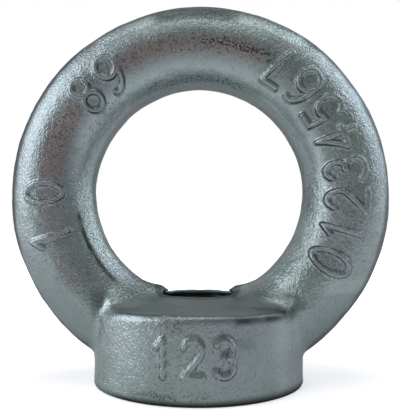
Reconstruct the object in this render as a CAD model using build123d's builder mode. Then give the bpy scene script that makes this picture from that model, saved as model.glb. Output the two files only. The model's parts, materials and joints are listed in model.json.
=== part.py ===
from build123d import *
import math
import os

# Lifting eye nut: one drop forging, a ring standing on a short round collar, with a tapped
# hole up through the collar into the eye. Millimetres. The machined base is on Z = 0, the
# thread's axis is the Z axis and the ring lies in the XZ plane.

# --- driving dimensions -------------------------------------------------------------------
thread_size = 12.0  # M12 coarse
thread_pitch = 1.75
eye_diameter = 30.0
section_width = 12.0  # the ring's section, trimmed edge to trimmed edge
crown_thickness = 12.0  # the same section along Y, at the top
root_thickness = 14.0  # and where the ring runs into the collar
collar_diameter = 29.3
ring_sink = 0.4  # how far the ring's circle would pass below the machined base
shoulder_radius = 1.2
die_draft = 8.5  # degrees, the fall of the collar's top from the thread's mouth
mouth_margin = 0.92  # the collar's top dips below the eye's circle this far inside the bore
junction_radius = 1.6  # forged fillet between ring and collar
trim_overlap = 0.08  # how far the oval section ran past its trimmed edges, each side
flash_thickness = 2.0  # the web that closed the eye before it was punched out
web_stand = 0.9  # the part of it left standing over the thread's mouth
base_edge_break = 0.5
countersink_flare = 1.3  # beyond the bore, radially

# --- derived ------------------------------------------------------------------------------
bore_radius = (thread_size - thread_pitch) / 2  # tapping drill
collar_radius = collar_diameter / 2
eye_radius = eye_diameter / 2
centreline_radius = eye_radius + section_width / 2
ring_radius = eye_radius + section_width
eye_height = ring_radius - ring_sink
mouth_height = eye_height - math.sqrt(eye_radius**2 - (bore_radius - mouth_margin) ** 2)
rim_height = mouth_height - (collar_radius - bore_radius) * math.tan(math.radians(die_draft))
punch_foot = eye_height - mouth_height - web_stand  # flat, below the eye's middle

# The ring's carried section starts and ends inside the bore, so that no end is left standing:
# at this angle its inner corner is at two thirds of the bore's radius.
sweep_start = math.degrees(math.acos(bore_radius * 2 / 3 / eye_radius))

# Plane of the ring, with its origin in the middle of the eye.
eye_plane = Plane(origin=(0, 0, eye_height), x_dir=(1, 0, 0), z_dir=(0, -1, 0))


def ring_section(angle, thickness):
    """The ring's oval cut face at an angle about the eye, in degrees from +X."""
    turn = math.radians(angle)
    outward = Vector(math.cos(turn), 0, math.sin(turn))
    onward = Vector(-math.sin(turn), 0, math.cos(turn))
    middle = Vector(0, 0, eye_height) + outward * centreline_radius
    with BuildSketch(Plane(origin=middle, x_dir=outward, z_dir=onward)) as section:
        Ellipse(section_width / 2 + trim_overlap, thickness / 2)
    return section.sketch


def is_junction(edge):
    """True for the concave edges where the ring runs into the collar."""
    middle = edge.center()
    from_axis = math.hypot(middle.X, middle.Y)
    on_shoulder = abs(middle.X) < 1e-3
    low = edge.bounding_box().max.Z < mouth_height + 0.01
    return low and not on_shoulder and from_axis > bore_radius + 0.2


with BuildPart() as eye_nut:
    # Collar, turned about the thread: base edge break, cylinder, shoulder, drafted top.
    with BuildSketch(Plane.XZ) as collar_profile:
        with BuildLine():
            base = (collar_radius - base_edge_break, 0)
            edge = (collar_radius, base_edge_break)
            rim = (collar_radius, rim_height)
            mouth = (bore_radius, mouth_height)
            Polyline((0, 0), base, edge, rim, mouth, (0, mouth_height), close=True)
        make_face()
        fillet(collar_profile.vertices().sort_by_distance(rim)[0], shoulder_radius)
    revolve(axis=Axis.Z)

    # Ring: the oval section carried right round the eye, thicker towards the collar.
    with BuildLine(eye_plane) as ring_path:
        CenterArc((0, 0), centreline_radius, -sweep_start, 180 + 2 * sweep_start)
    ring_sections = [
        ring_section(-sweep_start, root_thickness),
        ring_section(90, crown_thickness),
        ring_section(180 + sweep_start, root_thickness),
    ]
    sweep(sections=ring_sections, path=ring_path.line, multisection=True)

    # Tapping bore, right through.
    with BuildSketch(Plane.XY):
        Circle(bore_radius)
    extrude(amount=eye_height, mode=Mode.SUBTRACT)

    # Forged fillet all along the line where ring and collar meet.
    fillet(eye_nut.edges().filter_by(GeomType.BSPLINE).filter_by(is_junction), junction_radius)

    # Flash web over the thread's mouth, then the punch that clears the eye: round, with a
    # flat foot that leaves a little of the web standing.
    below_foot = (Align.CENTER, Align.MAX)
    with BuildSketch(eye_plane):
        Circle(eye_radius + trim_overlap)
        with Locations((0, trim_overlap - punch_foot)):
            Rectangle(eye_diameter, eye_diameter, align=below_foot, mode=Mode.INTERSECT)
    extrude(amount=flash_thickness / 2, both=True)
    with BuildSketch(eye_plane):
        Circle(eye_radius)
        with Locations((0, -punch_foot)):
            Rectangle(eye_diameter, eye_diameter, align=below_foot, mode=Mode.SUBTRACT)
    extrude(amount=root_thickness, both=True, mode=Mode.SUBTRACT)

    # Trimming cut round the outside of the ring, down to the collar.
    with BuildSketch(eye_plane):
        Circle(ring_radius + 2 * trim_overlap)
        Circle(ring_radius, mode=Mode.SUBTRACT)
        with Locations((0, -eye_height)):
            Rectangle(collar_diameter + 2 * junction_radius, 2 * rim_height, mode=Mode.SUBTRACT)
    extrude(amount=root_thickness / 2, both=True, mode=Mode.SUBTRACT)

    # The bore again, through the web.
    with BuildSketch(Plane.XY):
        Circle(bore_radius)
    extrude(amount=eye_height, mode=Mode.SUBTRACT)

    # Countersink where the stud enters.
    bore_foot = eye_nut.edges().filter_by(GeomType.CIRCLE).group_by(Axis.Z)[0].sort_by(SortBy.RADIUS)[0]
    chamfer(bore_foot, countersink_flare)

eye_nut.part.label = "eye_nut"

os.makedirs("parts", exist_ok=True)
export_step(eye_nut.part, "parts/eye_nut.step")
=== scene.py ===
"""Lifting eye nut: the looks of a drop-forged, zinc-plated ring on a tapped collar.

Shapes are worked out in millimetres in the part's own frame (machined base on Z = 0, thread
along Z, ring in the XZ plane, front towards -Y) and turned to metres when a mesh is made.
"""

import json
import math

import bmesh
import bpy
import numpy as np
from mathutils import Matrix, Vector


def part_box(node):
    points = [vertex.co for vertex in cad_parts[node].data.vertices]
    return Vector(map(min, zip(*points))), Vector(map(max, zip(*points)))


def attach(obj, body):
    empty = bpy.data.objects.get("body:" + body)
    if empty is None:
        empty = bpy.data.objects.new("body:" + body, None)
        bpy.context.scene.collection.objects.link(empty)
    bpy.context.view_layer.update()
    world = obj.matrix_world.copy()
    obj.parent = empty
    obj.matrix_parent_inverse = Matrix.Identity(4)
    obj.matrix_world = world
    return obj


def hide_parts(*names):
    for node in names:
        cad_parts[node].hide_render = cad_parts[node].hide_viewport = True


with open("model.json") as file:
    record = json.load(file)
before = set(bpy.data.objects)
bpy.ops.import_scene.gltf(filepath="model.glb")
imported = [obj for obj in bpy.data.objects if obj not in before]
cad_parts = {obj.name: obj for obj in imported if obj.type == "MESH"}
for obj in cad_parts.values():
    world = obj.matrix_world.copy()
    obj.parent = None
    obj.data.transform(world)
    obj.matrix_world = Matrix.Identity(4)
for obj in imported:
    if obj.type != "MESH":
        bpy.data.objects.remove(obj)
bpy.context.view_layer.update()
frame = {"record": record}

MM = 0.001
NODE = "eye_nut"


# --- sizes, from the frame and the forging ------------------------------------------------

def node_size(node):
    """Lowest and highest corner of a frame node, in millimetres."""
    low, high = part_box(node)
    return np.array(low) / MM, np.array(high) / MM


def mount(name):
    """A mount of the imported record, by name."""
    return next(m for m in frame["record"]["mounts"] if m["name"] == name)


LOW, HIGH = node_size(NODE)
RING_RADIUS = (HIGH[0] - LOW[0]) / 2
COLLAR_RADIUS = (HIGH[1] - LOW[1]) / 2
EYE_HEIGHT = HIGH[2] - RING_RADIUS
BORE_RADIUS = mount("thread")["dims"]["r_mm"]

EYE_RADIUS = 15.1
CENTRELINE = (RING_RADIUS + EYE_RADIUS) / 2
SECTION_HALF = (RING_RADIUS - EYE_RADIUS) / 2
TRIM_OVERLAP = 0.08  # how far the oval section ran past its trimmed edges
TRIM_EDGE = 0.12  # radius left along those edges
CROWN_HALF = 6.0  # half the ring's thickness along Y at the top
ROOT_HALF = 7.0  # and at the bottom, inside the collar
ROOT_ANGLE = math.radians(166.8)  # from the top round to where that is reached

DRAFT = math.radians(8.5)  # fall of the collar's top
MOUTH_HEIGHT = 12.1  # of the thread's mouth, where that fall starts
RIM = 10.0  # foot of the collar's shoulder
CRISP_SHOULDER = 0.5
DULL_SHOULDER = 0.9  # on the left
WORN_SHOULDER = 2.1  # at the left limb's root
BASE_BREAK = 0.3
DENT = np.array([12.1, -8.4, 10.7])  # a knock at the right end of the rim
DENT_DEPTH = 0.35

WEB_HALF = 1.0  # half the thickness of the flash web
WEB_TOP = 13.1
WEB_WEAR = 0.9  # how much lower it is over the thread's mouth
WEB_FILLET = 1.1

COUNTERSINK = 1.3
THREAD_PITCH = 1.75
THREAD_ROOT = 6.05
THREAD_START = 0.26  # turns
THREAD_TOP, THREAD_FULL = 0.38, 0.55  # below the mouth, where the cut thread begins and is full
LIP_CLEARANCE = 0.2  # of the mouth beyond the thread's crests


# --- small field tools --------------------------------------------------------------------

def blend(edge0, edge1, value):
    """Smooth 0-to-1 ramp between two edges: t * t * (3 - 2 t) of the clipped fraction."""
    t = np.clip((value - edge0) / (edge1 - edge0), 0.0, 1.0)
    return t * t * (3 - 2 * t)


def join(a, b, radius):
    """Union of two distance fields with a circular fillet of that radius between them."""
    near = np.hypot(np.maximum(radius - a, 0), np.maximum(radius - b, 0))
    return np.maximum(radius, np.minimum(a, b)) - near


def meet(a, b, radius):
    """Common part of two distance fields with its edge rounded to that radius."""
    return -join(-a, -b, radius)


class Lumps:
    """Smooth value noise: random heights on a wrapped lattice, eased between lattice points."""

    def __init__(self, seed, cells=24):
        self.cells = cells
        self.heights = np.random.default_rng(seed).uniform(-1, 1, (cells,) * 3)

    def __call__(self, points, size):
        scaled = points / size
        whole = np.floor(scaled).astype(int)
        part = scaled - whole
        part = part * part * (3 - 2 * part)
        total = np.zeros(points.shape[:-1])
        for corner in range(8):
            step = np.array([corner & 1, corner >> 1 & 1, corner >> 2 & 1])
            index = np.mod(whole + step, self.cells)
            weight = np.prod(np.where(step, part, 1 - part), axis=-1)
            total += weight * self.heights[index[..., 0], index[..., 1], index[..., 2]]
        return total


# --- the forging as a distance field ------------------------------------------------------

def ring_field(p):
    """Oval carried round the eye: along each ray from the section's middle, the distance past
    the oval, cut off flat at the trimmed edges. The oval thickens with the square of the angle
    from the top."""
    reach = np.hypot(p[..., 0], p[..., 2] - EYE_HEIGHT)
    from_top = np.abs(np.arctan2(p[..., 0], p[..., 2] - EYE_HEIGHT))
    half = CROWN_HALF + (ROOT_HALF - CROWN_HALF) * (from_top / ROOT_ANGLE) ** 2
    aside = reach - CENTRELINE
    spread = np.hypot(aside / (SECTION_HALF + TRIM_OVERLAP), p[..., 1] / half)
    along = np.hypot(aside, p[..., 1])
    oval = along * (1 - 1 / np.maximum(spread, 1e-6))
    return meet(oval, np.abs(aside) - SECTION_HALF, TRIM_EDGE)


def collar_field(p, ring):
    """Cylinder under a shallow cone that rises to the ring in a wide fillet, narrow by the
    thread's mouth and at the right end of the rim. The shoulder is crisp on the right, duller
    on the left and worn round at the left limb's root."""
    from_axis = np.hypot(p[..., 0], p[..., 1])
    fall = np.maximum(from_axis - BORE_RADIUS, 0) * math.tan(DRAFT)
    top = (p[..., 2] - MOUTH_HEIGHT + fall) * math.cos(DRAFT)
    fillet = 0.4 + 2.8 * blend(BORE_RADIUS + 1.0, BORE_RADIUS + 5.5, from_axis)
    towards_rim = blend(COLLAR_RADIUS - 5.0, COLLAR_RADIUS, from_axis)
    fillet = fillet - (0.8 + 0.6 * blend(-6, 6, p[..., 0])) * towards_rim
    shoulder = CRISP_SHOULDER + (DULL_SHOULDER - CRISP_SHOULDER) * blend(3, -5, p[..., 0])
    shoulder = shoulder + (WORN_SHOULDER - DULL_SHOULDER) * blend(-9.5, -12.5, p[..., 0])
    return meet(from_axis - COLLAR_RADIUS, join(ring, top, fillet), shoulder)


def web_field(p):
    """Thin plate across the eye's bottom, its flat top just over the thread's mouth and worn
    down towards it."""
    top = WEB_TOP - WEB_WEAR * blend(5.6, 4.2, np.abs(p[..., 0]))
    plan = np.maximum(p[..., 2] - top, np.abs(p[..., 0]) - COLLAR_RADIUS / 2)
    return meet(np.abs(p[..., 1]) - WEB_HALF, plan, 0.2)


def forging_field(p):
    """Ring and collar with a forged fillet between them down the flank, wider on the right,
    the web's stubs, and a dent at the right end of the rim. Negative inside the steel."""
    ring = ring_field(p)
    outside = blend(COLLAR_RADIUS - 1.2, COLLAR_RADIUS - 0.1, np.hypot(p[..., 0], p[..., 1]))
    fillet = 0.5 + 1.2 * blend(2.0, 6.0, -p[..., 1]) * blend(0, 4, p[..., 0])
    fillet = fillet * outside * blend(12.5, 10.5, p[..., 2])
    solid = join(ring, collar_field(p, ring), 0.02 + fillet)
    dent = DENT_DEPTH * blend(1.7, 0.0, np.linalg.norm(p - DENT, axis=-1))
    return join(solid, web_field(p), WEB_FILLET) + dent


def settle(start, direction, reach, rounds=90):
    """Walks points inwards along -direction until the field is nil, nine tenths of its value at a
    time; reach is how far out from start they begin. Returns the points."""
    along = np.full(start.shape[:-1], float(reach))
    for _ in range(rounds):
        along -= 0.9 * forging_field(start + along[..., None] * direction)
    return start + along[..., None] * direction


def field_normal(p, step=0.02):
    """Outward unit normal: the field's central differences along X, Y and Z."""
    slope = np.empty_like(p)
    for axis in range(3):
        shift = np.zeros(3)
        shift[axis] = step
        slope[..., axis] = forging_field(p + shift) - forging_field(p - shift)
    return slope / np.linalg.norm(slope, axis=-1, keepdims=True)


# --- raised digits ------------------------------------------------------------------------

def arc(cx, cy, rx, ry, start, end, steps=14):
    """Points of an elliptical arc, in degrees, counter-clockwise when end is above start."""
    turn = np.radians(np.linspace(start, end, steps))
    return np.stack([cx + rx * np.cos(turn), cy + ry * np.sin(turn)], axis=1)


def digit_strokes():
    """Strokes of the ten digits in a box one unit tall and 0.62 wide about the origin."""
    line = np.array
    return {
        "0": [arc(0, 0, 0.28, 0.5, 0, 360, 28)],
        "1": [line([(-0.16, 0.28), (0.06, 0.5), (0.06, -0.5)])],
        "2": [np.vstack([arc(0, 0.22, 0.27, 0.28, 165, -35), [(-0.27, -0.5), (0.29, -0.5)]])],
        "3": [arc(-0.02, 0.25, 0.25, 0.25, 150, -90), arc(-0.02, -0.23, 0.29, 0.27, 90, -150)],
        "4": [line([(0.12, -0.5), (0.12, 0.5), (-0.28, -0.18), (0.3, -0.18)])],
        "5": [np.vstack([[(0.25, 0.5), (-0.2, 0.5), (-0.24, 0.08)], arc(0, -0.18, 0.28, 0.32, 125, -145)])],
        "6": [np.vstack([arc(0.1, 0.02, 0.38, 0.48, 75, 180), arc(0, -0.2, 0.28, 0.3, 180, 540, 24)])],
        "7": [line([(-0.27, 0.5), (0.27, 0.5), (-0.06, -0.5)])],
        "8": [arc(0, 0.25, 0.23, 0.25, 0, 360, 24), arc(0, -0.25, 0.28, 0.25, 0, 360, 24)],
        "9": [np.vstack([arc(0, 0.2, 0.28, 0.3, 0, 360, 24), arc(-0.1, -0.02, 0.38, 0.48, 0, -105)])],
    }


DIGITS = digit_strokes()


def stroke_distance(across, upward, strokes):
    """Distance from points of a plane to the nearest stroke, each a run of straight pieces."""
    best = np.full(across.shape, 9.0)
    for stroke in strokes:
        for (x0, y0), (x1, y1) in zip(stroke[:-1], stroke[1:]):
            dx, dy = x1 - x0, y1 - y0
            t = np.clip(((across - x0) * dx + (upward - y0) * dy) / (dx * dx + dy * dy), 0, 1)
            best = np.minimum(best, np.hypot(across - x0 - t * dx, upward - y0 - t * dy))
    return best


def raised(across, upward, digit, height, width=0.95):
    """Relief of one digit, 0 to 1: full on its strokes and eased off at their sides."""
    near = (np.abs(across) < height) & (np.abs(upward) < height)
    relief = np.zeros(across.shape)
    strokes = DIGITS[digit]
    away = stroke_distance(across[near] / height / width, upward[near] / height, strokes) * height
    relief[near] = 1 - blend(0.16, 0.54, away)
    return relief


# Each row: digits, angle of the first about the eye, degrees between them (positive runs
# counter-clockwise), radius of their middles, height, and whether their tops point outwards.
RING_MARKS = [
    ("01234567", -28.5, 12.0, 20.3, 5.1, False),
    ("89", 139.0, -12.5, 20.1, 5.0, True),
    ("10", 198.5, -17.5, 20.9, 5.0, True),
]
COLLAR_MARKS = ("123", 3.9, 5.75, 4.4)  # digits, spacing, height of the middles, digit height
MARK_RELIEF = 0.45


def mark_relief(p):
    """Height of the raised digits over the plain forging at each point, in millimetres."""
    angle = np.degrees(np.arctan2(p[..., 2] - EYE_HEIGHT, p[..., 0]))
    reach = np.hypot(p[..., 0], p[..., 2] - EYE_HEIGHT)
    front = blend(1.0, 3.0, -p[..., 1])
    total = np.zeros(angle.shape)
    for digits, first, step, radius, height, tops_out in RING_MARKS:
        for place, digit in enumerate(digits):
            turned = (angle - first - step * place + 180) % 360 - 180
            across = np.radians(turned) * radius * np.sign(step)
            upward = (reach - radius) * (1 if tops_out else -1)
            total = np.maximum(total, front * raised(across, upward, digit, height))
    digits, step, middle, height = COLLAR_MARKS
    flank = blend(COLLAR_RADIUS - 1.0, COLLAR_RADIUS - 0.5, np.hypot(p[..., 0], p[..., 1]))
    around = np.arctan2(p[..., 0], -p[..., 1]) * COLLAR_RADIUS
    for place, digit in enumerate(digits):
        across = around - step * (place - (len(digits) - 1) / 2)
        total = np.maximum(total, flank * front * raised(across, p[..., 2] - middle, digit, height))
    return MARK_RELIEF * total


# --- forged surface -----------------------------------------------------------------------

broad_lumps = Lumps(11)
fine_lumps = Lumps(12)


def forged_relief(p):
    """Uneven skin left by the dies, in millimetres: broad waves, lumps and small pimples, all
    fading out at the machined base."""
    waves = 0.10 * broad_lumps(p, 7.0) + 0.05 * broad_lumps(p + 50, 3.1)
    pimples = 0.025 * fine_lumps(p, 1.3) + 0.018 * fine_lumps(p + 30, 0.7)
    return (waves + pimples) * blend(0.8, 2.4, p[..., 2])


def dressed(p):
    """Points of the plain forging moved out along its normal by marks and forged relief."""
    return p + field_normal(p) * (mark_relief(p) + forged_relief(p))[..., None]


# --- where the finish changes, and where light and shade are painted ----------------------

# Patches on the ring's front: angles about the eye, radii, strength.
RUST_PATCHES = [
    (62, 124, 18.9, 21.8, 1.0),
    (143, 178, 18.6, 21.9, 1.0),
    (203, 222, 19.6, 22.2, 0.7),
    (-34, 58, 17.8, 22.0, 0.45),
    (176, 202, 18.4, 22.0, 0.6),
]
SCALE_PATCHES = [
    (58, 91, 19.8, 21.4, 1.0),
    (91, 124, 19.6, 21.2, 0.35),
    (66, 116, 15.6, 16.4, 0.7),
    (128, 152, 16.4, 17.4, 0.6),
    (203, 222, 19.6, 22.0, 0.3),
    (143, 172, 19.2, 21.6, 0.3),
]
# Painted shade: a dark line on the inner slope of the lower left limb.
RING_SHADE_LINES = [(190, 228, 16.5, 16.95, 1.2)]
# And on the collar's front: X and Z ranges, strength.
COLLAR_RUST = [(-4.6, -0.6, 8.7, 10.3, 0.8), (2.2, 5.4, 4.2, 8.2, 0.45), (-9.0, 3.0, 0.4, 2.0, 0.35)]
COLLAR_SCALE = [(-7.0, -1.0, 0.7, 1.7, 0.55), (2.2, 5.4, 4.2, 8.2, 0.4)]
# Painted shade on the collar: a dark line under the rim, strongest on the right, and a faint one near the
# base on the left.
COLLAR_SHADE_LINES = [(5.0, 11.3, 9.7, 10.5, 1.1), (1.0, 5.0, 9.8, 10.4, 0.3), (-8.0, -2.0, 0.9, 1.4, 0.4)]

# Stripes along the ring: the zone they keep to, the section angles where they start, are full,
# begin to fade and are gone, and their strength. The last two angles are left out where a
# stripe runs on to the eye, and OUTSIDE stands where it runs on round the outside.
OUTSIDE = (-2, -1)
# Painted highlight along the ring where the strength is positive, painted shade where it is negative.
PAINTED_LIGHT_STRIPES = [
    ("mid_crown", 44, 50, 60, 66, -1.0),
    ("beside_crown", 36, 42, 56, 62, 1.1),
    ("crown", 52, 60, 74, 84, 0.25),
    ("upper", 125, 136, 143, 152, 0.6),
    ("left", 150, 160, 0.45),
    ("left_of_eye", 138, 143, 148, 153, -0.35),
    ("lower_left", *OUTSIDE, 80, 100, 0.15),
    ("right_inside", 150, 160, 0.5),
    ("lower_right", 132, 146, 0.95),
    ("right_limb", 105, 112, 138, 145, -0.3),
    ("right_root", *OUTSIDE, 0.4),
    ("right_corner", *OUTSIDE, -0.4),
]
GRAIN_STRIPES = [
    ("not_lower", 100, 116, 150, 160, -0.6),
    ("lower_left", 120, 135, 0.3),
    ("roots", *OUTSIDE, 72, 85, -0.65),
    ("right_side", *OUTSIDE, 60, 80, 0.4),
    ("top", *OUTSIDE, 55, 75, 0.5),
]


def band(value, start, full, fade=None, gone=None):
    """0 up to start, 1 from full to fade, 0 again from gone. Without fade it stays 1."""
    rise = blend(start, full, value)
    return rise if fade is None else rise * blend(gone, fade, value)


class Place:
    """Where the skin's points lie. Lengths in millimetres, angles in degrees: angle about the eye
    from +X, from_top about the eye from straight up, and section about the ring's oval, which
    is 0 outwards, 90 at the front and the back, and 180 towards the eye."""

    def __init__(self, p):
        self.p = p
        self.x, self.y, self.z = p.T
        over_eye = self.z - EYE_HEIGHT
        self.reach = np.hypot(self.x, over_eye)
        self.angle = (np.degrees(np.arctan2(over_eye, self.x)) + 90) % 360 - 90
        self.from_top = np.degrees(np.abs(np.arctan2(self.x, over_eye)))
        self.section = np.degrees(np.arctan2(np.abs(self.y), self.reach - CENTRELINE))
        self.from_axis = np.hypot(self.x, self.y)
        self.depth = MOUTH_HEIGHT - self.z


def ring_zones(at):
    """Soft 0-to-1 zones of the ring by name, each a product of ramps over the place."""
    lower = blend(75, 100, at.from_top)
    low = blend(13.2, 12.2, at.z)
    left_limb, right_limb = blend(0, -6, at.x), blend(0, 6, at.x)
    lower_right = blend(95, 115, at.from_top) * right_limb
    return {
        "lower": lower,
        "not_lower": 1 - lower,
        "lower_left": lower * left_limb,
        "lower_right": lower_right,
        "right_inside": blend(70, 100, at.from_top) * right_limb,
        "right_limb": lower_right * blend(14.0, 16.0, at.z),
        "right_root": lower_right * band(at.z, 12.3, 13.0, 14.0, 15.5),
        "right_corner": low * blend(8, 10, at.x) * blend(1, -1, at.from_axis - COLLAR_RADIUS),
        "right_side": blend(12, 18, at.x) * blend(110, 90, at.from_top),
        "roots": blend(112, 128, at.from_top),
        "left": blend(-6, -14, at.x),
        "left_of_eye": blend(-10, -14, at.x) * band(at.from_top, 55, 65, 100, 115),
        "upper_left": blend(-12, -20, at.x) * blend(14, 22, at.z),
        "upper": blend(48, 20, at.from_top),
        "upper_half": blend(115, 75, at.from_top),
        "crown": blend(40, 15, at.from_top),
        "top": blend(35, 15, at.from_top),
        "mid_crown": blend(16, 10, at.from_top),
        "beside_crown": band(at.from_top, 12, 17, 32, 38),
    }


def striped(at, zones, stripes):
    """Sum of stripes along the ring, each within its zone and its band of section angles."""
    return sum(strength * zones[zone] * band(at.section, *angles) for zone, *angles, strength in stripes)


def patch(across, upward, ranges, soft_across):
    """Soft-edged rectangle, 0 to 1, over two coordinates."""
    low, high, bottom, top = ranges
    soft_upward = min(0.8, (top - bottom) / 2)
    side = blend(-soft_across, soft_across, np.minimum(across - low, high - across))
    return side * blend(-soft_upward, soft_upward, np.minimum(upward - bottom, top - upward))


def patches(at, on_ring, on_collar):
    """Strongest of the ring's and the collar's patches at each point of the front."""
    flank = blend(0.7, 0.3, np.abs(COLLAR_RADIUS + 0.2 - at.from_axis)) * blend(11.5, 10.8, at.z)
    total = np.zeros(len(at.p))
    for *ranges, strength in on_ring:
        total = np.maximum(total, strength * (1 - flank) * patch(at.angle, at.reach, ranges, 5.0))
    for *ranges, strength in on_collar:
        total = np.maximum(total, strength * flank * patch(at.x, at.z, ranges, 0.8))
    return blend(0.5, 2.0, -at.y) * total


def trimmed_and_shaded_edges(at, zones):
    """Where the flash was sheared off, its edges darkened partly as painted shade along the silhouettes:
    some 36 degrees of the section outside, more at the crown's middle and, as painted shade against the
    lamp's reflection, at the upper left, and less beside the crown's middle, where its border is half rubbed
    off, and a thin line in the eye."""
    uneven = 5.0 * broad_lumps(at.p + 20, 2.3)
    widened = 12 * blend(18, 8, at.from_top) + 6 * zones["upper_left"] * blend(50, 60, at.from_top)
    outside = 1 - blend(30, 42, at.section + uneven - widened + 9 * zones["beside_crown"])
    inside = 0.4 * blend(145, 155, at.section) + 0.25 * blend(163, 174, at.section + uneven)
    inside = zones["upper_half"] * inside + 0.1 * blend(161, 174, at.section)
    rubbed = 0.5 * blend(40, 30, at.from_top) * blend(44, 36, at.section)
    return np.maximum(outside, inside) * (1 + 0.18 * zones["upper_left"]) * (1 - rubbed)


def painted_ring_light(at, zones):
    """Painted highlight on the ring: a band on the slope towards the eye, which starts nearer the eye and
    more sharply at the lower left, and the stripes of painted highlight and painted shade."""
    start = 108 + 20 * zones["lower_left"]
    full = start + 24 - 13 * zones["lower_left"]
    end = 159 + 20 * (1 - zones["upper_half"])
    slope = band(at.section, start, full, end - 6, end + 6) * blend(12, 15, at.z)
    slope = slope * (0.85 - 0.6 * zones["lower"] + 0.45 * zones["lower_left"])
    return slope + striped(at, zones, PAINTED_LIGHT_STRIPES)


def collar_top(at):
    """1 on the collar's top inside its rim, short of the corners where the ring comes in."""
    return blend(0.3, 0.9, COLLAR_RADIUS - at.from_axis) * band(at.x, -12.8, -11.5, 10.5, 12.5)


def painted_collar_light(at):
    """Painted highlight on the collar: its top, most on the left, its flank towards both sides, and the
    rim's left end."""
    top = (1.3 + 0.5 * blend(-5, -10, at.x)) * collar_top(at)
    flank = 0.3 * np.maximum(blend(-4, -9, at.x), blend(9, 11, at.x)) * blend(RIM, RIM - 0.6, at.z)
    flank = flank + 0.15 * blend(-8, -10, at.x) * blend(5, 2, at.z)
    rim_end = 0.9 * blend(RIM - 0.2, RIM + 0.2, at.z) * band(at.x, -12.6, -12.0, -10.3, -9.3)
    return np.max([top, flank, rim_end], axis=0)


def collar_grain(at):
    """Grain of the collar, 0 to 1: finer towards the right, and nearly smooth on its top and
    along the left half of its rim."""
    rim = blend(RIM, RIM + 0.3, at.z) * band(at.x, -13.0, -12.0, -7.0, 0.0)
    return (1.0 - 0.55 * blend(-6, 6, at.x)) * (1 - 0.7 * np.maximum(collar_top(at), rim))


def base_shade(at):
    """Painted shade round the base edge, black, higher up on the right and faint at the far left."""
    height = 0.7 + 0.2 * blend(-10, -5, at.x) + 0.4 * blend(0, 8, at.x)
    soot = blend(height, BASE_BREAK, at.z) * (1 - 0.3 * blend(-9, -12, at.x))
    return soot + 0.22 * blend(0.5, 0.25, at.z) * blend(-12, -8, at.x)


def mouth_shade(at):
    """Painted shade at the thread's mouth, black: on the torn ends of the web's stubs, on the thread from
    half a millimetre down, less on the right, and in a band on the front lip."""
    torn = 0.8 * blend(6.6, 5.8, at.from_axis) * blend(0.1, -0.2, at.depth) * blend(1.6, 1.2, np.abs(at.y))
    first_crest = band(at.depth, 0.88, 1.0, 1.5, 1.8)
    thread = blend(THREAD_TOP, 0.52, at.depth) * (1 - 0.6 * first_crest) * (1 - 0.5 * blend(1.2, 2.6, at.x))
    thread = np.maximum(thread, 0.3 + 0.4 * blend(2.0, 3.6, np.abs(at.x)))
    thread = thread * blend(THREAD_ROOT + 0.3, THREAD_ROOT + 0.1, at.from_axis)
    # Painted shade in a band on the front lip.
    front_lip_shade = 0.45 * blend(6.9, 6.3, at.from_axis) * blend(-4.0, -4.6, at.y)
    front_lip_shade = front_lip_shade * blend(3.0, 1.8, np.abs(at.x + 0.8)) * blend(0.4, 0.2, at.depth)
    return np.max([torn, thread, front_lip_shade], axis=0) * blend(15.0, 14.0, at.z)


def finish_masks(p):
    """Named masks over the skin's points, mostly 0 to 1: flash-trimmed edges, partly painted shade, rust,
    dark mill scale, painted highlight (from -1, painted shade, to 2), grain (up to 1.5), painted shade at
    the foot of the raised digits, and painted shade round the base, in dark lines, in the dent, on the upper
    left's outer edge and at the thread's mouth."""
    at = Place(p)
    zones = ring_zones(at)
    over_top = np.maximum(at.from_axis - BORE_RADIUS, 0) * math.tan(DRAFT) - at.depth
    on_ring = np.maximum(blend(0.2, 1.0, at.from_axis - COLLAR_RADIUS), blend(0.3, 1.2, over_top))
    on_collar = 1 - on_ring
    back = blend(0.0, 2.0, at.y)
    rust = patches(at, RUST_PATCHES, COLLAR_RUST)
    rust = rust + 0.7 * back * on_ring * blend(0.1, 0.6, broad_lumps(p + 70, 4.5))
    scale = np.maximum(patches(at, SCALE_PATCHES, COLLAR_SCALE), 0.4 * rust)
    scale = scale + 0.5 * back * blend(0.45, 0.8, broad_lumps(p - 40, 3.0))
    # Painted shade on the left limb's root.
    left_root_shade = blend(-12.0, -12.8, at.x) * band(at.z, 8.5, 9.5, 12.5, 13.5) * blend(15.8, 15.2, at.from_axis)
    relief = mark_relief(p) / MARK_RELIEF
    # Painted shade: the dark lines, in the dent at the rim's right end, and along the upper left's outer
    # edge.
    lines = patches(at, RING_SHADE_LINES, COLLAR_SHADE_LINES) * (0.9 + 0.35 * broad_lumps(p, 1.1))
    dented = 0.55 * blend(2.0, 0.5, np.linalg.norm(p - DENT, axis=-1))
    shaded = 0.4 * zones["upper_left"] * blend(38, 28, at.section)
    return {
        # Sheared flash edges, darkened partly as painted shade along the silhouettes.
        "trimmed": on_ring * trimmed_and_shaded_edges(at, zones),
        "rust": rust,
        "scale": scale,
        # Painted highlight on ring and collar, less painted shade at the left limb's root.
        "bright": on_ring * painted_ring_light(at, zones) + on_collar * painted_collar_light(at) - 0.6 * left_root_shade,
        "grain": on_ring * (1 + striped(at, zones, GRAIN_STRIPES)) + on_collar * collar_grain(at),
        # Painted shade at the foot of the raised digits.
        "foot": band(relief, 0.01, 0.2, 0.4, 0.8),
        # All the painted shade: round the base, in dark lines, in the dent, on the upper left's outer edge
        # and at the thread's mouth.
        "sooty": np.max([base_shade(at), lines, dented, shaded, mouth_shade(at)], axis=0),
    }


# --- the skin: grids joined edge to edge --------------------------------------------------

def spaced(stops):
    """Values along an axis from (end, steps) pairs after a first value, each span even."""
    values = [stops[0]]
    for end, steps in stops[1:]:
        values += list(np.linspace(values[-1], end, steps + 1)[1:])
    return np.array(values)


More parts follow.
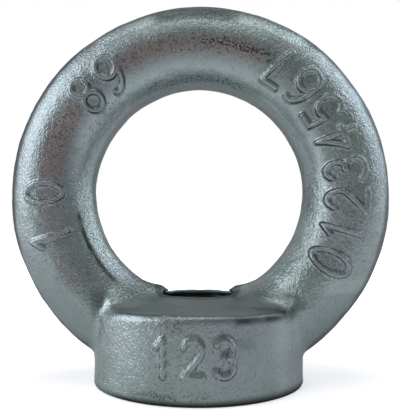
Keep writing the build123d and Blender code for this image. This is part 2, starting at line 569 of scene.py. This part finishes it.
WINDOW = 31.5  # degrees either side of straight down that the collar's two openings take
AROUND_EYE = spaced([-90 - WINDOW, (-90 + WINDOW, 110), (-36, 30), (62, 184), (116, 36), (208, 174),
                     (270 - WINDOW, 28)])
AROUND_SECTION = spaced([-80, (0, 14), (60, 18), (80, 14), (128, 34), (131, 2), (229, 46), (280, 10)])


def section_rays(eye_angle, section_angle):
    """Middle of the ring's section at an angle about the eye, and the unit ray leaving it at an
    angle about the section: 0 outwards, 90 to the front, 180 towards the eye."""
    eye, turn = np.radians(eye_angle), np.radians(section_angle)
    outward = np.stack([np.cos(eye), np.zeros_like(eye), np.sin(eye)], axis=-1)
    middle = CENTRELINE * outward + np.array([0, 0, EYE_HEIGHT])
    ray = np.cos(turn)[..., None] * outward + np.sin(turn)[..., None] * np.array([0.0, -1.0, 0.0])
    return middle, ray


class Skin:
    """Collects vertices and quads of grids that share their border vertices."""

    def __init__(self):
        self.points = []
        self.quads = []
        self.count = 0

    def add(self, points):
        """Adds an array of points and returns their indices in the same arrangement."""
        index = self.count + np.arange(points[..., 0].size).reshape(points.shape[:-1])
        self.points.append(points.reshape(-1, 3))
        self.count += index.size
        return index

    def weave(self, index, keep=None):
        """Quads between neighbouring rows and columns of an index grid."""
        quads = np.stack([index[:-1, :-1], index[1:, :-1], index[1:, 1:], index[:-1, 1:]], axis=-1)
        self.quads.append((quads if keep is None else quads[keep]).reshape(-1, 4))

    def halve(self, fine, coarse):
        """Faces between a ring of points and one with half as many: each coarse step takes two
        fine ones, as a quad and a triangle."""
        even, odd, after = fine[::2], fine[1::2], np.roll(fine, -2)[::2]
        ahead = np.roll(coarse, -1)
        self.quads.append(np.stack([even, odd, coarse, coarse], axis=-1))
        self.quads.append(np.stack([odd, after, ahead, coarse], axis=-1))

    def mesh(self, name):
        """The collected skin as a Blender mesh, in metres, smooth, unused points left out."""
        points, quads = np.concatenate(self.points), np.concatenate(self.quads)
        used = np.unique(quads)
        renumber = np.full(len(points), -1)
        renumber[used] = np.arange(len(used))
        mesh = bpy.data.meshes.new(name)
        faces = [face[:3] if face[2] == face[3] else face for face in renumber[quads].tolist()]
        mesh.from_pydata((points[used] * MM).tolist(), [], faces)
        mesh.polygons.foreach_set("use_smooth", np.ones(len(mesh.polygons), bool))
        for mask, values in finish_masks(points[used]).items():
            layer = mesh.attributes.new(mask, "FLOAT", "POINT")
            layer.data.foreach_set("value", values.astype(np.float32))
        mesh.update()
        return mesh


def line_of(stops, angle):
    """Index of the grid line at an angle."""
    return int(np.argmin(np.abs(stops - angle)))


def ringed(index):
    """An index grid with its first column repeated after its last."""
    return np.concatenate([index, index[:, :1]], axis=1)


def window_border(grid, rows, columns):
    """Indices round a rectangle of the grid, once round, starting at its first corner."""
    (r0, r1), (c0, c1) = rows, columns
    return np.concatenate([grid[r0:r1, c0], grid[r1, c0:c1], grid[r1:r0:-1, c1], grid[r0, c1:c0:-1]])


def thread_radius(around, height):
    """Internal thread's wall: flanks of 5/16 of the pitch between crests of a quarter, at the
    bore's radius, and roots of an eighth, the phase running up one pitch a turn, clockwise
    seen from the stud's head."""
    phase = (height / THREAD_PITCH - around / (2 * np.pi) + THREAD_START) % 1.0
    flank = np.clip((6 / 16 - np.abs(phase - 0.5)) / (5 / 16), 0, 1)
    return BORE_RADIUS + (THREAD_ROOT - BORE_RADIUS) * flank


def flank_grid(start, level, rows):
    """From border points on the flank straight down to a level circle: at each height the point
    is where a level ray at the same angle about the thread meets the forging. Returns the grid
    and the angles."""
    around = np.arctan2(start[:, 1], start[:, 0])
    outward = np.stack([np.cos(around), np.sin(around), np.zeros_like(around)], axis=-1)
    fall = np.linspace(0, 1, rows + 1)[1:, None]
    on_axis = np.zeros((rows, len(start), 3))
    on_axis[..., 2] = start[:, 2] * (1 - fall) + level * fall
    return settle(on_axis, np.broadcast_to(outward, on_axis.shape), 1.5 * COLLAR_RADIUS), around


def lip_radius(around):
    """Radius of the thread's mouth: just over the crests, less under the web's stubs."""
    return BORE_RADIUS + LIP_CLEARANCE - 1.0 * blend(0.3, 0.12, np.abs(np.sin(around)))


def mouth_grid(start, rows):
    """From border points on the eye's bottom in to the mouth's lip, straight in plan, each
    point dropped on to the forging from above. Returns the grid and the angles."""
    around = np.arctan2(start[:, 1], start[:, 0])
    circle = lip_radius(around)[:, None] * np.stack([np.cos(around), np.sin(around)], axis=-1)
    run = np.linspace(0, 1, rows + 1)[1:, None, None]
    below = np.zeros((rows, len(start), 3))
    below[..., :2] = start[:, :2] * (1 - run) + circle * run
    return settle(below, np.array([0.0, 0.0, 1.0]), MOUTH_HEIGHT + SECTION_HALF), around


def circles(around, stops):
    """Level circles about the thread from (radius, height) stops, a row each."""
    radius, height = np.array(stops)[:, :1], np.array(stops)[:, 1:]
    level = np.broadcast_to(height, (len(stops), len(around)))
    return np.stack([radius * np.cos(around), radius * np.sin(around), level], axis=-1)


def thread_grid(foot_around, mouth_around, mouth_level, rows):
    """The tapped wall from the countersink's lip to the mouth. Its radius is the largest of the
    countersink's cone, the thread, which fades out just below the mouth, and the mouth's small
    flare."""
    rise = np.linspace(0, 1, rows + 2)[1:-1, None]
    drift = (mouth_around - foot_around + np.pi) % (2 * np.pi) - np.pi
    around = foot_around + rise * drift
    height = rise * mouth_level
    depth = mouth_level - height
    flare = lip_radius(around) - 0.5 * depth
    cut = (thread_radius(around, height) - BORE_RADIUS) * blend(THREAD_TOP, THREAD_FULL, depth)
    cone = BORE_RADIUS + COUNTERSINK - height
    radius = np.maximum(BORE_RADIUS + cut, np.maximum(cone, flare))
    return np.stack([radius * np.cos(around), radius * np.sin(around), height], axis=-1)


def build_forging():
    """The whole skin. A grid of rays round the ring's section, all round the eye, settled on the
    forging's field; two windows in it open on the collar's flank and on the eye's bottom. Grids
    run on from their borders: one down the flank, across the base and up the thread, the other
    across the collar's top to the thread's mouth, where the two meet."""
    skin = Skin()
    middle, ray = section_rays(*np.meshgrid(AROUND_EYE[:-1], AROUND_SECTION[:-1], indexing="ij"))
    plain = settle(middle, ray, CENTRELINE - 2.0)
    grid = ringed(skin.add(dressed(plain)))
    grid = np.concatenate([grid, grid[:1]], axis=0)
    plain = plain.reshape(-1, 3)

    rows = (0, line_of(AROUND_EYE, -90 + WINDOW))
    flank_columns = (0, line_of(AROUND_SECTION, 80))
    mouth_columns = (line_of(AROUND_SECTION, 131), line_of(AROUND_SECTION, 229))
    keep = np.ones(np.subtract(grid.shape, 1), bool)
    for first, last in (flank_columns, mouth_columns):
        keep[:rows[1], first:last] = False
    skin.weave(grid, keep)

    border = window_border(grid, rows, flank_columns)
    flank, around = flank_grid(plain[border], level=0.9, rows=38)
    half_round = 0.09  # from both sides of the base's corner, halfway round its break
    edge = circles(around, [(COLLAR_RADIUS, BASE_BREAK), (COLLAR_RADIUS - half_round, half_round),
                            (COLLAR_RADIUS - BASE_BREAK, 0)])
    outside = np.vstack([border[None], skin.add(dressed(flank)), skin.add(edge)])
    skin.weave(ringed(outside))

    mouth_border = window_border(grid, rows, mouth_columns)
    top, mouth_around = mouth_grid(plain[mouth_border], rows=16)
    inside = np.vstack([mouth_border[None], skin.add(dressed(top))])
    skin.weave(ringed(inside))

    # The two borders run opposite ways round the thread, from opposite corners. The thread's
    # wall has half their columns.
    corner = 2 * rows[1] + mouth_columns[1] - mouth_columns[0]
    match = (corner - np.arange(len(border))) % len(border)
    lip = BORE_RADIUS + COUNTERSINK
    base = circles(around[::2], [(COLLAR_RADIUS - 1.0, 0), ((COLLAR_RADIUS + lip) / 2, 0), (lip, 0)])
    wall = thread_grid(around[::2], mouth_around[match][::2], top[-1, match, 2][::2], rows=56)
    wall = skin.add(np.concatenate([base, wall]))
    skin.weave(ringed(wall))
    skin.halve(outside[-1], wall[0])
    skin.halve(inside[-1][match], wall[-1])
    return skin.mesh(NODE)


def face_outwards(mesh):
    """Turns every face of a closed mesh to point out of the solid."""
    work = bmesh.new()
    work.from_mesh(mesh)
    bmesh.ops.recalc_face_normals(work, faces=work.faces)
    work.to_mesh(mesh)
    work.free()


forging_mesh = build_forging()
face_outwards(forging_mesh)
forging = bpy.data.objects.new("forged_eye_nut", forging_mesh)
bpy.context.scene.collection.objects.link(forging)
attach(forging, "root")
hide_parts(NODE)


# --- finish -------------------------------------------------------------------------------

class Wire:
    """A shader socket that takes part in Python arithmetic: each operator adds a Math node."""

    def __init__(self, finish, socket):
        self.finish = finish
        self.socket = socket

    def math(self, operation, other, swapped=False):
        first, second = (other, self) if swapped else (self, other)
        return self.finish.node("ShaderNodeMath", {"operation": operation}, {0: first, 1: second})

    def __add__(self, other):
        return self.math("ADD", other)

    def __sub__(self, other):
        return self.math("SUBTRACT", other)

    def __rsub__(self, other):
        return self.math("SUBTRACT", other, swapped=True)

    def __mul__(self, other):
        return self.math("MULTIPLY", other)

    __radd__ = __add__
    __rmul__ = __mul__


class Finish:
    """The node tree of a material or of the room, being laid out."""

    def __init__(self, tree):
        self.tree = tree
        self.tree.nodes.clear()

    def node(self, kind, settings=None, sockets=None, output=0):
        """Adds a node: settings first, with a ramp's stops as (place, grey) pairs, then the values
        or wires of its sockets. Returns the wire of one output."""
        made = self.tree.nodes.new(kind)
        for name, value in (settings or {}).items():
            if name == "stops":
                lay_stops(made.color_ramp, value)
            else:
                setattr(made, name, value)
        for key, value in (sockets or {}).items():
            if isinstance(value, Wire):
                self.tree.links.new(value.socket, made.inputs[key])
            else:
                made.inputs[key].default_value = value
        return Wire(self, made.outputs[output]) if made.outputs else None

    def mix(self, factor, a, b, blend_type="MIX"):
        """Two colours mixed, through the sockets that a mix of colours has by number only."""
        settings = {"data_type": "RGBA", "blend_type": blend_type, "clamp_factor": True}
        return self.node("ShaderNodeMix", settings, {0: factor, 6: a, 7: b}, output=2)

    def ramp(self, value, *stops):
        """A value mapped through a ramp of grey stops."""
        return self.node("ShaderNodeValToRGB", {"stops": stops}, {0: value})

    def noise(self, where, scale, detail, roughness=0.55):
        """Fractal noise, 0 to 1, of that many waves a metre."""
        sockets = {"Vector": where, "Scale": scale, "Detail": detail, "Roughness": roughness}
        return self.node("ShaderNodeTexNoise", {}, sockets)

    def ray(self, kind):
        """1 for rays of that kind."""
        return self.node("ShaderNodeLightPath", output=f"Is {kind} Ray")

    def seen_directly(self):
        """1 for rays from the camera and for those off mirror-like or through clear surfaces."""
        return self.ray("Camera") + self.ray("Glossy") + self.ray("Transmission")


def lay_stops(ramp, stops):
    """Puts (place, grey) stops on a colour ramp."""
    while len(ramp.elements) < len(stops):
        ramp.elements.new(1.0)
    for element, (place, grey) in zip(ramp.elements, stops):
        element.position = place
        element.color = (grey, grey, grey, 1)


def new_material(name):
    """A material and its node tree, still empty."""
    material = bpy.data.materials.new(name)
    material.use_nodes = True
    return material, Finish(material.node_tree)


ZINC_GREEN = (0.187, 0.229, 0.22, 1)
ZINC_BLUE = (0.198, 0.228, 0.236, 1)
# Grey of the sheared flash edges, partly painted shade.
SHEARED_AND_SHADE_GREY = (0.058, 0.064, 0.068, 1)
RUST_BROWN = (0.2, 0.145, 0.142, 1)
SCALE_BLACK = (0.018, 0.024, 0.022, 1)
# Painted shade at the foot of the raised digits.
FOOT_SHADE_GREY = (0.05, 0.055, 0.06, 1)
# Painted shade.
SHADE_BLACK = (0.015, 0.017, 0.018, 1)
GRAIN_DEPTH = 0.0001  # metres


def zinc_finish():
    """Dull zinc over a forged skin: grainy, darker in its pits and on the trimmed edges, there partly as
    painted shade, with speckled rust and specks of dark scale showing through, and painted highlight and
    painted shade, where the masks say."""
    material, f = new_material("zinc_on_forging")
    where = f.node("ShaderNodeTexCoord", output="Object")
    trimmed, rust, scale, bright, grain, foot, sooty = (
        f.node("ShaderNodeAttribute", {"attribute_name": mask}, output="Fac")
        for mask in ("trimmed", "rust", "scale", "bright", "grain", "foot", "sooty"))

    grit = f.noise(where, 2900.0, 2.0, 0.65)
    worms = f.ramp(f.noise(where, 1500.0, 1.0), (0.42, 0.0), (0.5, 1.0), (0.58, 0.0))
    dimples = f.noise(where, 800.0, 1.0)
    height = grain * (0.9 * grit + 0.5 * dimples - 0.2 * worms)

    cloud = f.noise(where, 170.0, 3.0)
    hue = f.noise(where, 90.0, 2.0)
    zinc = f.mix(f.ramp(hue, (0.35, 0), (0.65, 1)), ZINC_GREEN, ZINC_BLUE)
    # Painted highlight and painted shade scale the tone here.
    shade = (0.52 + 0.45 * cloud + grain * (0.5 * grit - 0.05 * worms)) * (1 + 0.55 * bright)
    tone = f.mix(1.0, zinc, f.node("ShaderNodeCombineColor", {}, {0: shade, 1: shade, 2: shade}), "MULTIPLY")
    # Sheared flash edges, darkened partly as painted shade along the silhouettes, most at the upper left.
    tone = f.mix(0.8 * trimmed, tone, SHEARED_AND_SHADE_GREY)

    speckle = f.noise(where, 2500.0, 2.0, 0.7)
    rusty = f.ramp(speckle + 0.36 * rust, (0.62, 0.0), (0.8, 1.0))
    tone = f.mix(0.62 * rusty * rust, tone, RUST_BROWN)
    flecks = f.noise(where, 3400.0, 1.0, 0.6)
    scaly = f.ramp(flecks + 0.12 * scale, (0.6, 0.0), (0.69, 1.0))
    tone = f.mix((0.3 + 0.6 * scale) * scaly, tone, SCALE_BLACK)
    # Painted shade round the foot of the raised digits.
    tone = f.mix(0.75 * foot, tone, FOOT_SHADE_GREY)
    # Painted shade, black.
    tone = f.mix(0.8 * sooty, tone, SHADE_BLACK)

    rough = 0.27 + 0.14 * cloud + 0.15 * trimmed + 0.12 * rusty * rust + 0.2 * sooty
    bump = f.node("ShaderNodeBump", {}, {"Strength": 1.0, "Distance": GRAIN_DEPTH, "Height": height})
    shader = f.node("ShaderNodeBsdfPrincipled", {}, {
        "Base Color": tone, "Metallic": 0.92, "Roughness": rough, "Normal": bump,
        "Specular Tint": (0.5, 0.5, 0.5, 1)})
    f.node("ShaderNodeOutputMaterial", {}, {"Surface": shader})
    return material


forging.data.materials.append(zinc_finish())


# --- stage --------------------------------------------------------------------------------

def floor_finish():
    """Matt pale grey that takes the part's shadow. To the camera and in reflections it glows, a
    little round the part and nearly up to white behind it."""
    material, f = new_material("floor_white")
    place = f.node("ShaderNodeTexCoord", output="Object")
    along_y = f.node("ShaderNodeSeparateXYZ", {}, {0: place}, output="Y")
    glow = f.ramp(0.5 + along_y, (0.38, 0.0), (0.46, 0.4), (0.54, 0.4), (0.66, 0.9))
    diffuse = f.node("ShaderNodeBsdfDiffuse", {}, {"Color": (0.65, 0.65, 0.65, 1)})
    emission = f.node("ShaderNodeEmission", {}, {"Strength": glow * f.seen_directly()})
    both = f.node("ShaderNodeAddShader", {}, {0: diffuse, 1: emission})
    f.node("ShaderNodeOutputMaterial", {}, {"Surface": both})
    return material


def lay_floor():
    """A wide level sheet at the part's base."""
    half = 3.0
    corners = [(-half, -half, 0), (half, -half, 0), (half, half, 0), (-half, half, 0)]
    mesh = bpy.data.meshes.new("floor")
    mesh.from_pydata(corners, [], [(0, 1, 2, 3)])
    floor = bpy.data.objects.new("floor", mesh)
    bpy.context.scene.collection.objects.link(floor)
    floor.data.materials.append(floor_finish())


def hang_lamp(name, place, aim, size, brightness, colour):
    """A square soft box at a place, facing its aim, in metres. With a brightness of 1 its own
    face would look just white."""
    data = bpy.data.lights.new(name, "AREA")
    data.size = size
    data.energy = brightness * math.pi * size**2
    data.color = colour
    lamp = bpy.data.objects.new(name, data)
    bpy.context.scene.collection.objects.link(lamp)
    facing = Vector(aim) - Vector(place)
    lamp.matrix_world = Matrix.Translation(place) @ facing.to_track_quat("-Z", "Y").to_matrix().to_4x4()


def light_world(level):
    """Even grey room of that level. The camera sees it white, and reflections see it white
    straight behind the part."""
    world = bpy.data.worlds.new("room")
    bpy.context.scene.world = world
    world.use_nodes = True
    f = Finish(world.node_tree)
    direction = f.node("ShaderNodeTexCoord", output="Generated")
    along_y = f.node("ShaderNodeSeparateXYZ", {}, {0: direction}, output="Y")
    behind = f.ramp(along_y, (0.985, 0), (0.998, 1))
    camera = f.ray("Camera")
    reflected = f.seen_directly() - camera
    white = f.node("ShaderNodeMath", {"operation": "MAXIMUM"}, {0: camera, 1: reflected * behind})
    background = f.node("ShaderNodeBackground", {}, {
        "Color": (1, 1, 1, 1), "Strength": level + white * (1 - level)})
    f.node("ShaderNodeOutputWorld", {}, {"Surface": background})


def set_camera():
    """Close in front and a little below the eye's middle, looking slightly up and left."""
    data = bpy.data.cameras.new("camera")
    data.lens = 53.285
    data.sensor_width = 36.0
    data.shift_x = 0.01619
    data.shift_y = -0.05929
    data.clip_start = 0.005
    camera = bpy.data.objects.new("camera", data)
    bpy.context.scene.collection.objects.link(camera)
    pitch, yaw, roll = -0.067, -0.056, -0.002
    place = Vector((4.34, -90.0, 21.56)) * MM
    ahead = Vector((math.sin(yaw) * math.cos(pitch), math.cos(yaw) * math.cos(pitch), -math.sin(pitch)))
    turn = ahead.to_track_quat("-Z", "Y").to_matrix().to_4x4()
    camera.matrix_world = Matrix.Translation(place) @ turn @ Matrix.Rotation(roll, 4, "Z")
    bpy.context.scene.camera = camera


lay_floor()
hang_lamp("left_box", (-0.36, -0.05, 0.20), (0, 0, 0.03), 0.35, 4.5, (0.97, 1.0, 1.07))
hang_lamp("right_box", (0.29, 0.1, 0.28), (0, 0, 0.03), 0.26, 4.4, (0.95, 1.0, 1.12))
hang_lamp("right_low_box", (0.33, 0.13, 0.09), (0, 0, 0.02), 0.16, 3.1, (0.94, 1.0, 1.13))
hang_lamp("top_box", (0.0, -0.09, 0.45), (0, 0, 0.03), 0.26, 2.5, (1.0, 1.0, 1.0))
light_world(0.47)
set_camera()
bpy.context.scene.view_settings.view_transform = "Standard"
